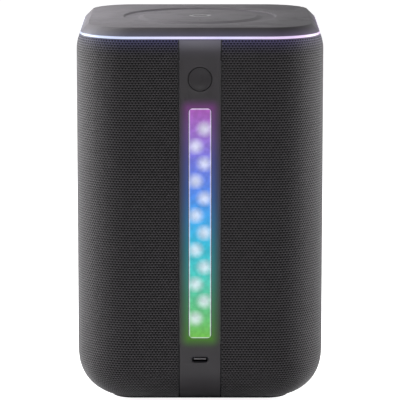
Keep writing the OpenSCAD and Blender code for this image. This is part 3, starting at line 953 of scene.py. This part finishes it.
@dataclass(frozen=True)
class PlateFinish(Finish):
    """Satin grey plate, with a painted glow of the ring's light where its bevel stands on the
    ring.
    """

    foot: float = 0.2
    painted_spill: float = 0.004

    def dress(self, graph: Graph, shader: bpy.types.Node) -> None:
        """Adds a painted glow of the ring's light to the plain finish.

        Args:
            graph: The material's graph.
            shader: Its Principled shader.
        """
        super().dress(graph, shader)
        place = graph.place()
        # Painted glow: the bevel's foot gives off a little of the ring's light, fading upwards.
        painted_spill_mask = graph.ramp(graph.parts(place)[2], self.foot + self.painted_spill, self.foot,
                          smooth_step=False)
        colour = graph.ring_tint(place)
        colour = graph.blend(0.4, colour, (0.45, 0.45, 1.0, 1), "MULTIPLY")
        glow = graph.math("POWER", painted_spill_mask, 1.6)
        self.light(graph, shader, graph.blend(glow, BLACK, colour), 0.1)


@dataclass(frozen=True)
class StripFinish(Finish):
    """Satin dark grey strip, with painted glows of the bar's light round its bar and of the ring's
    light under the ring.
    """

    bar_middle: float = 0.1
    bar_half: tuple[float, float] = (0.006, 0.06)
    ring_height: float = 0.2

    def dress(self, graph: Graph, shader: bpy.types.Node) -> None:
        """Adds painted glows of the bar's and the ring's light to the plain finish.

        Args:
            graph: The material's graph.
            shader: Its Principled shader.
        """
        super().dress(graph, shader)
        place = graph.place()
        low, high = (self.bar_middle + side * self.bar_half[1] for side in (-1, 1))
        # Painted glow: round the bar the strip gives off the bar's colours, fading with distance
        # from the bar's edge.
        painted_halo = graph.effect(Effect.BAR_HALO, Vector=place, Middle=self.bar_middle,
                            **{"Half Width": self.bar_half[0], "Half Length": self.bar_half[1]})
        colour = graph.effect(Effect.SPECTRUM, Vector=place, Low=low, High=high)
        glow = graph.blend(painted_halo.outputs["Glow"], BLACK, colour.outputs["Colour"])
        # Under the painted glow the strip's own colour fades to black.
        plain = shader.inputs["Base Color"].links[0].from_socket
        graph.feed(shader.inputs["Base Color"],
                   graph.blend(painted_halo.outputs["Glow"], plain, BLACK))
        # Painted glow: the strip's top gives off a little of the ring's light, fading downwards.
        painted_spill_mask = graph.ramp(graph.parts(place)[2], self.ring_height - 0.014, self.ring_height,
                          smooth_step=False)
        ring = graph.ring_tint(place)
        painted_spill = graph.blend(graph.times(graph.math("POWER", painted_spill_mask, 3), 0.3),
                            BLACK, ring)
        self.light(graph, shader, graph.blend(1.0, glow, painted_spill, "ADD"), 0.38)


@dataclass(frozen=True)
class BarFinish(Finish):
    """Frosted lens, lit through in a run of colours with a soft spot at each lamp."""

    low: float = 0.0
    high: float = 1.0
    first_lamp: float = 1.0
    pitch: float = 0.01
    lamp_side: float = 0.0024
    width: float = 0.012
    face: float = -0.068

    def dress(self, graph: Graph, shader: bpy.types.Node) -> None:
        """Wires the run of colours and the lamps' spots.

        Args:
            graph: The material's graph.
            shader: Its Principled shader.
        """
        super().dress(graph, shader)
        place = graph.place()
        colour = graph.effect(Effect.SPECTRUM, Vector=place, Low=self.low,
                              High=self.high).outputs["Colour"]
        spots = graph.effect(Effect.LAMPS, Vector=place, First=self.first_lamp,
                             Pitch=self.pitch, Side=self.lamp_side, Blur=0.006)
        pale = graph.blend(0.72, colour, (0.86, 0.9, 1.0, 1))
        lit = graph.blend(spots.outputs["Spot"], colour, pale)
        x, y, z = graph.parts(place)
        aside = graph.minus(self.width / 2, graph.math("ABSOLUTE", x))
        beyond = graph.math("MINIMUM", graph.minus(z, self.low),
                            graph.minus(self.high, z))
        rim = graph.ramp(graph.math("MINIMUM", aside, beyond), 0.0009, 0.0003)
        lit = graph.blend(graph.times(rim, 0.5), lit, (0.9, 0.85, 1.0, 1))
        cloud = graph.ramp(graph.noise(place, 0.0032, 3), 0.3, 0.7, 0.86, 1.08)
        deep = graph.ramp(y, self.face + 0.0014, self.face + 0.0005, 0.05, 1.0)
        glow = graph.times(cloud, deep)
        self.light(graph, shader, graph.scaled(lit, glow), 0.98)


@dataclass(frozen=True)
class RingFinish(Finish):
    """Milky ring lit from below, cooler on the left than on the right."""

    foot: float = 0.2

    def dress(self, graph: Graph, shader: bpy.types.Node) -> None:
        """Wires the ring's light.

        Args:
            graph: The material's graph.
            shader: Its Principled shader.
        """
        super().dress(graph, shader)
        place = graph.place()
        colour = graph.ring_tint(place)
        uneven = graph.ramp(graph.noise(place, 0.012, 2), 0.3, 0.7, 0.94, 1.04)
        shown = graph.ramp(graph.parts(place)[2], self.foot - 0.0002, self.foot, 0.02, 1)
        uneven = graph.times(uneven, shown)
        self.light(graph, shader, graph.scaled(colour, uneven), 0.95)


@dataclass(frozen=True)
class FloorFinish(Finish):
    """Pale floor that looks brighter to the camera than the light it sends back."""

    def dress(self, graph: Graph, shader: bpy.types.Node) -> None:
        """Adds a glow that only the camera sees.

        Args:
            graph: The material's graph.
            shader: Its Principled shader.
        """
        super().dress(graph, shader)
        seen = graph.node("LightPath").outputs["Is Camera Ray"]
        self.light(graph, shader, graph.blend(seen, BLACK, WHITE), 0.9)


# ---------- sub-assemblies ----------


def hand_over(piece: bpy.types.Object, body: str, slot: str, finish: Finish,
              *nodes: str) -> None:
    """Dresses a finished piece and says what it rides on and stands for.

    Args:
        piece: The finished piece.
        body: The body that it moves with.
        slot: The record's material slot; it is not used.
        finish: Its finish.
        nodes: The frame's nodes that it stands for.
    """
    piece.data.materials.clear()
    piece.data.materials.append(finish.make())
    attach(piece, body)
    if nodes:
        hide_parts(*nodes)
    log.info("%s: %d faces on %s", piece.name, len(piece.data.polygons), body)


@dataclass(frozen=True)
class BodyShape:
    """The tower's outer shape: its outline from above and its section."""

    width: float
    ring_height: float
    corner: float = 0.031
    curve_in: float = 0.034
    curve_up: float = 0.029
    fullness: float = 2.4
    end_inset: float = 0.019
    lift: float = 0.001
    shoulder_in: float = 0.0016
    shoulder_height: float = 0.008

    def outline(self) -> Outline:
        """Returns the outline at its widest."""
        return Outline(self.width, self.width, self.corner)

    def shoulder(self, steps: int = 8) -> list[Level]:
        """Returns the levels from the straight side up to the ring.

        Args:
            steps: How many steps the curve has.

        Returns:
            The inset and the height of each level.
        """
        base = self.ring_height - self.shoulder_height
        return [(self.shoulder_in * (i / steps) ** 2, base + self.shoulder_height * i / steps)
                for i in range(steps + 1)]

    def under_curve(self, steps: int = 24) -> list[Level]:
        """Returns the levels from the straight side down round the bottom edge.

        Args:
            steps: How many steps the curve has.

        Returns:
            The inset and the height of each level.
        """
        end = math.acos((1 - self.end_inset / self.curve_in) ** (self.fullness / 2))
        power = 2 / self.fullness
        angles = [end * i / steps for i in range(steps + 1)]
        return [(self.curve_in * (1 - math.cos(a) ** power),
                 self.lift + self.curve_up * (1 - math.sin(a) ** power)) for a in angles]

    def section(self) -> list[Level]:
        """Returns the whole section from the ring down to the bottom edge's end."""
        return self.shoulder()[::-1] + self.under_curve()


@dataclass
class Sleeve:
    """The knitted sleeve that is stretched over the grille frame."""

    shape: BodyShape
    thickness: float = 0.0008
    slot_width: float = 0.0238

    UV = "flat_cut"

    def build(self) -> None:
        shape = self.shape
        piece = raise_outline("knit_sleeve", shape.outline(), shape.shoulder(), capped=False)
        straight = shape.shoulder()[0]
        lower = raise_outline("lower_sleeve", shape.outline(),
                              [straight, *shape.under_curve()], capped=False)
        join(piece, lower)
        self.open_front(piece)
        apply_modifier(piece, "SOLIDIFY", thickness=self.thickness, offset=-1,
                       use_even_offset=True)
        soften(piece, self.thickness * 0.42, degrees=50)
        self.lay_out(piece)
        finish = KnitFinish("knit_charcoal", (60, 58, 60), 0.8, relief=0.0004, sheen=0.3,
                            level=0.25, ring_height=shape.ring_height)
        hand_over(piece, "speaker", "knit_fabric", finish, "fabric_sleeve")
        self.down_total()

    def open_front(self, piece: bpy.types.Object) -> None:
        """Cuts the slot for the control strip out of the sleeve's front.

        Args:
            piece: The sleeve before it gets its thickness.
        """
        half = self.slot_width / 2
        with editing(piece):
            close_up()
            for side in (-half, half):
                bpy.ops.mesh.select_all(action="SELECT")
                bpy.ops.mesh.bisect(plane_co=(side, 0, 0), plane_no=(1, 0, 0))
            pick_faces(lambda middle, normal: abs(middle.x) < half and middle.y < 0)
            bpy.ops.mesh.delete(type="FACE")
            close_up()

    def around_total(self) -> float:
        """Returns the length of the outline."""
        return 4 * (self.shape.width - 2 * self.shape.corner) + math.tau * self.shape.corner

    def down_total(self) -> float:
        """Returns the length of the section."""
        points = self.shape.section()
        return sum(math.dist(a, b) for a, b in zip(points, points[1:]))

    def around(self, x: float, y: float) -> float:
        """Returns how far along the outline a point lies, counted from the front's middle.

        Args:
            x: Place to the right of the middle.
            y: Place behind the middle.

        Returns:
            The length along the outline.
        """
        radius, half = self.shape.corner, self.shape.width / 2
        flat, side = half - radius, abs(x)
        quarter = radius * math.pi / 2
        if y < -flat:
            if side <= flat:
                far = side
            else:
                far = flat + radius * math.atan2(side - flat, -(y + flat))
        elif y <= flat:
            far = flat + quarter + (y + flat)
        elif side > flat:
            far = 3 * flat + quarter + radius * math.atan2(y - flat, side - flat)
        else:
            far = 3 * flat + 2 * quarter + (flat - side)
        return far if x >= 0 else self.around_total() - far

    def inset(self, x: float, y: float) -> float:
        """Returns how far a point lies inside the outline.

        Args:
            x: Place to the right of the middle.
            y: Place behind the middle.

        Returns:
            The distance inside the outline.
        """
        half, radius = self.shape.width / 2, self.shape.corner
        beyond = [max(abs(v) - (half - radius), 0) for v in (x, y)]
        if min(beyond) > 0:
            return radius - math.hypot(*beyond)
        return half - max(abs(x), abs(y))

    def down(self, inset: float, height: float) -> float:
        """Returns how far down the section its point nearest to a place lies.

        Args:
            inset: How far inside the outline the place is.
            height: Its height.

        Returns:
            The length along the section.
        """
        points = self.shape.section()
        best, passed, result = math.inf, 0.0, 0.0
        for (ax, az), (bx, bz) in zip(points, points[1:]):
            run = math.dist((ax, az), (bx, bz))
            share = ((inset - ax) * (bx - ax) + (height - az) * (bz - az)) / run ** 2
            share = min(max(share, 0), 1)
            gap = math.dist((inset, height), (ax + share * (bx - ax), az + share * (bz - az)))
            if gap < best:
                best, result = gap, passed + share * run
            passed += run
        return result

    def lay_out(self, piece: bpy.types.Object) -> None:
        """Gives the cloth the UV map of its flat cut, in metres.

        Args:
            piece: The finished sleeve.
        """
        mesh = piece.data
        places = [(self.around(v.co.x, v.co.y), -self.down(self.inset(v.co.x, v.co.y), v.co.z))
                  for v in mesh.vertices]
        layer = mesh.uv_layers.new(name=self.UV)
        for loop in mesh.loops:
            layer.data[loop.index].uv = places[loop.vertex_index]


@dataclass
class TopDeck:
    """The touch plate with its groove and mark, and the light ring under it."""

    shape: BodyShape
    height: float
    ring_inset: float = 0.002
    cap_height: float = 0.0045
    cap_inset: float = 0.0066
    skirt_inset: float = 0.007
    plate_hollow: float = 0.0019
    groove: tuple[float, float] = (0.032, 0.043)
    groove_depth: float = 0.001
    mark: tuple[float, float] = (0.00415, 0.00625)
    mark_depth: float = 0.00045
    mic_y: float = -0.0225
    post_place: float = 0.048

    def build(self) -> None:
        """Builds the plate, the mark and the ring."""
        self.plate()
        self.mark_ring()
        self.light_ring()

    def plate(self) -> None:
        """Builds the touch plate."""
        top, foot = self.height, self.height - self.cap_height
        piece = raise_outline("touch_plate", self.shape.outline(),
                              [(self.ring_inset, foot), (self.cap_inset, top)])
        inner, outer = self.groove
        floor = top - self.groove_depth
        cut(piece, turned("groove_tool", [
            (inner, top), (inner + 0.003, floor), (outer - 0.0008, floor), (outer, top),
            (outer, top + 0.001), (inner, top + 0.001), (inner, top)], steps=128))
        soften(piece, 0.00034, degrees=14)
        hollow = slab("hollow_tool", Outline(
            self.shape.width - 2 * self.skirt_inset, self.shape.width - 2 * self.skirt_inset,
            self.shape.corner - self.skirt_inset), foot - 0.001, foot + self.plate_hollow)
        lip = 0.00006
        low, high = self.mark[0] - lip, self.mark[1] + lip
        seat = top - self.mark_depth - lip
        recess = turned("recess_tool", [
            (low, seat), (high, seat), (high, top - lip), (high + 0.001, top + 0.001),
            (low - 0.001, top + 0.001), (low, top - lip), (low, seat)])
        port = settle(turned("mic_tool", [
            (0, top - 0.004), (0.0006, top - 0.004), (0.0006, top - 0.0002),
            (0.0018, top + 0.001), (0, top + 0.001)], steps=32), (0, self.mic_y, 0))
        cut(piece, hollow, recess, port)
        for x, y in ((1, 1), (-1, 1), (-1, -1), (1, -1)):
            post = turned("post", [
                (0, foot - 0.0094), (0.0012, foot - 0.0094), (0.0012, foot - 0.001),
                (0, foot - 0.001)], steps=24)
            stem = turned("stem", [(0, foot - 0.0094), (0.003, foot - 0.0094),
                                   (0.003, foot + 0.0022), (0, foot + 0.0022)], steps=32)
            cut(stem, post)
            settle(stem, (x * self.post_place, y * self.post_place, 0))
            fuse(piece, stem)
        smooth(piece)
        finish = PlateFinish("plate_satin", (66, 64, 67), 0.46, size=0.00025,
                             relief=0.000008, mottle=0.05, level=0.2, foot=foot)
        hand_over(piece, "speaker", "top_grey", finish, "top_plate")

    def mark_ring(self) -> None:
        """Builds the plain polished ring in the plate's middle."""
        low, high = self.mark
        top, round_off = self.height, 0.00022
        profile = [(low, top - self.mark_depth), (high, top - self.mark_depth)]
        profile += arc((high - round_off, top - round_off), round_off, 0, 90, 4)
        profile += arc((low + round_off, top - round_off), round_off, 90, 180, 4)
        piece = turned("mark_ring", [*profile, profile[0]], steps=96)
        smooth(piece)
        hand_over(piece, "speaker", "mark_metal", FINISHES["mark_metal"], "top_mark")

    def light_ring(self) -> None:
        """Builds the milky ring with its rounded edge and its leg down to the lamps."""
        low, high = self.shape.ring_height + 0.0001, self.height - self.cap_height - 0.0001
        middle, proud = (low + high) / 2, self.ring_inset - 0.0002
        leg_in, back_in, leg_foot = 0.0062, 0.010, low - 0.0055
        outline = self.shape.outline()
        upper = [(proud, middle), (proud + 0.00006, high - 0.0003),
                 (proud + 0.0002, high - 0.0001), (proud + 0.0005, high), (back_in, high)]
        lower = [(proud, middle), (proud + 0.00006, low + 0.0003),
                 (proud + 0.0002, low + 0.0001), (proud + 0.0005, low), (leg_in, low),
                 (leg_in, leg_foot), (back_in, leg_foot), (back_in, high)]
        piece = join(raise_outline("glow_ring", outline, upper, capped=False),
                     raise_outline("ring_leg", outline, lower, capped=False))
        with editing(piece):
            close_up(merge=0.00002)
        smooth(piece, 40)
        finish = RingFinish("ring_milky", (96, 96, 110), 0.3, size=0.001, relief=0.000004,
                            mottle=0.02, coat=0.3, foot=low)
        hand_over(piece, "speaker", "ring_milky", finish, "light_ring")


@dataclass
class FrontStrip:
    """The control strip with its light bar, mute key and socket."""

    shape: BodyShape
    bar_low: float
    bar_high: float
    key_height: float
    port_height: float
    lamps: tuple[float, float]
    width: float = 0.0224
    thickness: float = 0.002
    bar_width: float = 0.0122
    bar_corner: float = 0.0022
    key_radius: float = 0.0065
    port_size: tuple[float, float] = (0.00894, 0.00326)
    gap: float = 0.00015
    bar_gap: float = 0.00045

    FLANGE = 0.0015

    @property
    def face(self) -> float:
        """Returns where the strip's face lies along Y."""
        return -self.shape.width / 2

    def build(self) -> None:
        """Builds the strip, the bar, the key and its icon."""
        self.strip()
        self.bar()
        self.key()
        self.icon()

    def strip(self) -> None:
        """Builds the strip that follows the body's section."""
        section = self.shape.section()
        section[0] = (section[0][0], section[0][1] - self.gap)
        piece = draw_line("front_strip", [(-self.width / 2, self.face + inset, height)
                                          for inset, height in section])
        with editing(piece):
            bpy.ops.mesh.extrude_region_move(
                TRANSFORM_OT_translate={"value": (self.width, 0, 0)})
            close_up()
        turned_in = sum(face.normal.y * face.area for face in piece.data.polygons) > 0
        if turned_in:
            with editing(piece):
                bpy.ops.mesh.flip_normals()
        apply_modifier(piece, "SOLIDIFY", thickness=self.thickness, offset=-1,
                       use_even_offset=True)
        middle, deep = (self.bar_low + self.bar_high) / 2, self.thickness * 2
        window = settle(slab("window_tool", Outline(
            self.bar_width + 2 * self.bar_gap, self.bar_high - self.bar_low + 2 * self.bar_gap,
            self.bar_corner + self.bar_gap, 10), -deep, deep), (0, self.face, middle),
            FACE_FRONT)
        hole = settle(turned("hole_tool", [
            (0, -deep), (self.key_radius + 0.00025, -deep), (self.key_radius + 0.00025, deep),
            (0, deep)]), (0, self.face, self.key_height), FACE_FRONT)
        width, height = (size + 2 * self.gap for size in self.port_size)
        mouth = settle(slab("mouth_tool", Outline(width, height, height / 2 - 0.0001, 10),
                            -deep, deep), (0, self.face, self.port_height), FACE_FRONT)
        cut(piece, window, hole, mouth)
        soften(piece, 0.00022, degrees=30)
        finish = StripFinish("strip_satin", (66, 63, 66), 0.42, size=0.0003, relief=0.00001,
                             mottle=0.05, bar_middle=middle,
                             bar_half=(self.bar_width / 2, (self.bar_high - self.bar_low) / 2),
                             ring_height=self.shape.ring_height)
        hand_over(piece, "speaker", "strip_grey", finish, "control_strip")

    def bar(self) -> None:
        """Builds the frosted lens with its flange and chamfered rim."""
        flange, length = self.FLANGE, self.bar_high - self.bar_low
        outline = Outline(self.bar_width + 2 * flange, length + 2 * flange, 0.0036, 12)
        piece = raise_outline("light_bar", outline, [
            (0, -0.00295), (0, -0.0021), (flange, -0.0021), (flange, -0.00045),
            (flange + 0.00012, -0.00022), (flange + 0.0004, -0.0001),
            (flange + 0.0009, -0.0001)])
        settle(piece, (0, self.face, (self.bar_low + self.bar_high) / 2), FACE_FRONT)
        smooth(piece, 35)
        first, pitch = self.lamps
        finish = BarFinish("bar_frosted", (26, 26, 32), 0.32, size=0.0008, relief=0.00001,
                           mottle=0.04, coat=0.4, low=self.bar_low, high=self.bar_high,
                           first_lamp=first, pitch=pitch, width=self.bar_width,
                           face=self.face)
        hand_over(piece, "speaker", "bar_milky", finish, "light_bar_lens")

    def key(self) -> None:
        """Builds the round key with its dish, flange and stem."""
        radius, edge, dish = self.key_radius, 0.0005, 0.028
        rim = radius - 2 * edge
        drop = rim ** 2 / (2 * dish)
        profile = [(rim * i / 10, -drop + (rim * i / 10) ** 2 / (2 * dish)) for i in range(11)]
        profile += arc((radius - edge, -edge), edge, 90, 0, 5)
        profile += [(radius, -0.0033), (radius + 0.0009, -0.0033), (radius + 0.0009, -0.0039),
                    (0.0039, -0.0039), (0.0039, -0.0063), (0, -0.0063)]
        piece = turned("mute_key", profile, steps=96)
        settle(piece, (0, self.face, self.key_height), FACE_FRONT)
        smooth(piece)
        hand_over(piece, "mute_key", "button_grey", FINISHES["button_grey"], "mute_button")

    def icon(self) -> None:
        """Builds the generic microphone with a bar across it."""
        low, high, step = -0.0016, -0.00055, 0.000004
        piece = slab("key_icon", Outline(0.0034, 0.0046, 0.0016, 8), low, high)
        cut(piece, slab("inside", Outline(0.0022, 0.0034, 0.00105, 8), 2 * low, high + 0.001))
        settle(piece, (0, 0.0006, 0))
        stem = settle(slab("stem", Outline(0.0006, 0.0014, 0.0001, 2), low, high - step),
                      (0, -0.0022, 0))
        foot = settle(slab("foot", Outline(0.0028, 0.0007, 0.0002, 3), low, high - 2 * step),
                      (0, -0.003, 0))
        bar = settle(slab("bar", Outline(0.0006, 0.0058, 0.0002, 4), low, high + step),
                     (0, 0.0006, 0), (0, 0, math.radians(44)))
        fuse(piece, stem, foot, bar)
        settle(piece, (0, self.face, self.key_height), FACE_FRONT)
        smooth(piece)
        hand_over(piece, "mute_key", "icon_white", FINISHES["icon_white"], "button_icon")


class Innards:
    """The frame's own pieces that stay, each with its slot's finish."""

    SPECIAL = {"usb_tongue": Finish("tongue_grey", (150, 147, 150), 0.5, size=0.0002,
                                    relief=0.00001, mottle=0.05)}

    def dress(self) -> None:
        """Gives every shown node of the frame its finish."""
        shown = 0
        for row in frame["record"]["subparts"]:
            node = frame["nodes"][row["node"]]
            finish = self.SPECIAL.get(row["node"], FINISHES.get(row["material_slot"]))
            if node.hide_render or finish is None:
                continue
            node.data.materials.clear()
            node.data.materials.append(finish.make())
            shown += 1
        log.info("%d nodes of the frame dressed", shown)


# ---------- studio ----------


@dataclass(frozen=True)
class Softbox:
    """A large soft light, aimed at the speaker's middle.

    One kept for some pieces only is close to them, so it lights them without a shine.
    """

    name: str
    place: Place
    size: tuple[float, float]
    power: float
    only: tuple[str, ...] = ()

    def hang(self, target: Vector) -> None:
        """Hangs the light.

        Args:
            target: The point that it is aimed at.
        """
        bpy.ops.object.light_add(type="AREA", location=self.place)
        lamp = bpy.context.active_object
        lamp.name = self.name
        lamp.rotation_euler = (target - Vector(self.place)).to_track_quat("-Z", "Y").to_euler()
        lamp.data.shape = "RECTANGLE"
        lamp.data.size, lamp.data.size_y = self.size
        lamp.data.energy = self.power
        lamp.visible_camera = False
        if self.only:
            group = bpy.data.collections.new(f"{self.name}_subjects")
            for name in self.only:
                group.objects.link(bpy.data.objects[name])
            lamp.light_linking.receiver_collection = group
            lamp.visible_glossy = False


@dataclass
class Studio:
    """The pale floor, the soft light and the camera."""

    low: Vector
    high: Vector
    lens: float = 273.0
    sensor: float = 36.0
    distance: float = 1.632
    above: float = 0.1828
    tilt: float = 9.62

    def build(self) -> None:
        """Sets up the whole studio."""
        self.floor()
        self.sky()
        middle = (self.low + self.high) / 2
        for box in (
            Softbox("top_light", (-0.11, 0.01, 0.311), (0.12, 0.12), 0.8,
                    ("touch_plate", "mark_ring")),
            Softbox("left_light", (-0.62, 0.18, 0.30), (0.5, 0.5), 9.5),
            Softbox("right_light", (0.80, 0.26, 0.28), (0.4, 0.5), 10.0),
            Softbox("front_light", (0.1, -1.6, 1.0), (1.2, 1.0), 8.0),
        ):
            box.hang(middle)
        self.camera()
        bpy.context.scene.view_settings.view_transform = "Standard"

    def floor(self) -> None:
        """Lays the pale floor."""
        bpy.ops.object.select_all(action="DESELECT")
        bpy.ops.mesh.primitive_plane_add(size=12, location=(0, 0, self.low.z - 0.0003))
        floor = bpy.context.active_object
        floor.name = "studio_floor"
        finish = FloorFinish("floor_pale", (214, 214, 216), 0.8, size=0.01, relief=0.0001,
                             mottle=0.01, level=0.1)
        floor.data.materials.append(finish.make())

    def sky(self) -> None:
        """Fills the background with white for the camera and dimmer light for the rest."""
        world = bpy.data.worlds.new("studio_sky")
        bpy.context.scene.world = world
        world.use_nodes = True
        graph = Graph(world.node_tree)
        seen = graph.node("LightPath").outputs["Is Camera Ray"]
        x, y, _ = graph.parts(graph.node("TexCoord").outputs["Generated"])
        rear = graph.minus(y, graph.times(x, 0.35))
        glow = graph.ramp(rear, -0.3, 1.1, 0.12, 0.4)
        strength = graph.math("MAXIMUM", seen, glow)
        sky = graph.node("Background", {"Color": WHITE, "Strength": strength})
        output = graph.node("OutputWorld")
        graph.feed(output.inputs["Surface"], sky.outputs[0])

    def camera(self) -> None:
        """Sets the camera in front, a little above the speaker's top."""
        place = ((self.low.x + self.high.x) / 2, self.low.y - self.distance,
                 self.high.z + self.above)
        bpy.ops.object.camera_add(location=place,
                                  rotation=(math.radians(90 - self.tilt), 0, 0))
        camera = bpy.context.active_object
        camera.name = "front_camera"
        camera.data.lens, camera.data.sensor_width = self.lens, self.sensor
        camera.data.clip_end = 50
        bpy.context.scene.camera = camera


def centre(node: str) -> Vector:
    """Returns the middle of a node's box."""
    low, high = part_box(node)
    return (low + high) / 2


def lamp_rows(node: str) -> tuple[float, float]:
    """Reads where the lamps behind the light bar stand.

    Args:
        node: The lamps' node.

    Returns:
        The height of the first lamp and the pitch.
    """
    heights = sorted({round(v.co.z, 6) for v in frame["nodes"][node].data.vertices})
    middles = [(a + b) / 2 for a, b in zip(heights[::2], heights[1::2])]
    return middles[-1], (middles[-1] - middles[0]) / (len(middles) - 1)


def main() -> None:
    """Builds the speaker and its studio round the frame's box."""
    logging.basicConfig(level=logging.INFO, format="%(name)s: %(message)s")
    skin_low, skin_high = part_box("fabric_sleeve")
    shape = BodyShape(width=skin_high.x - skin_low.x, ring_height=skin_high.z)
    bar_low, bar_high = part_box("light_bar_lens")
    Sleeve(shape).build()
    TopDeck(shape, height=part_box("top_plate")[1].z).build()
    FrontStrip(shape, bar_low=bar_low.z + FrontStrip.FLANGE,
               bar_high=bar_high.z - FrontStrip.FLANGE,
               key_height=centre("mute_button").z, port_height=centre("usb_shell").z,
               lamps=lamp_rows("light_bar_lamps")).build()
    Innards().dress()
    Studio(*CAD_BOX).build()


if __name__ == "__main__":
    main()
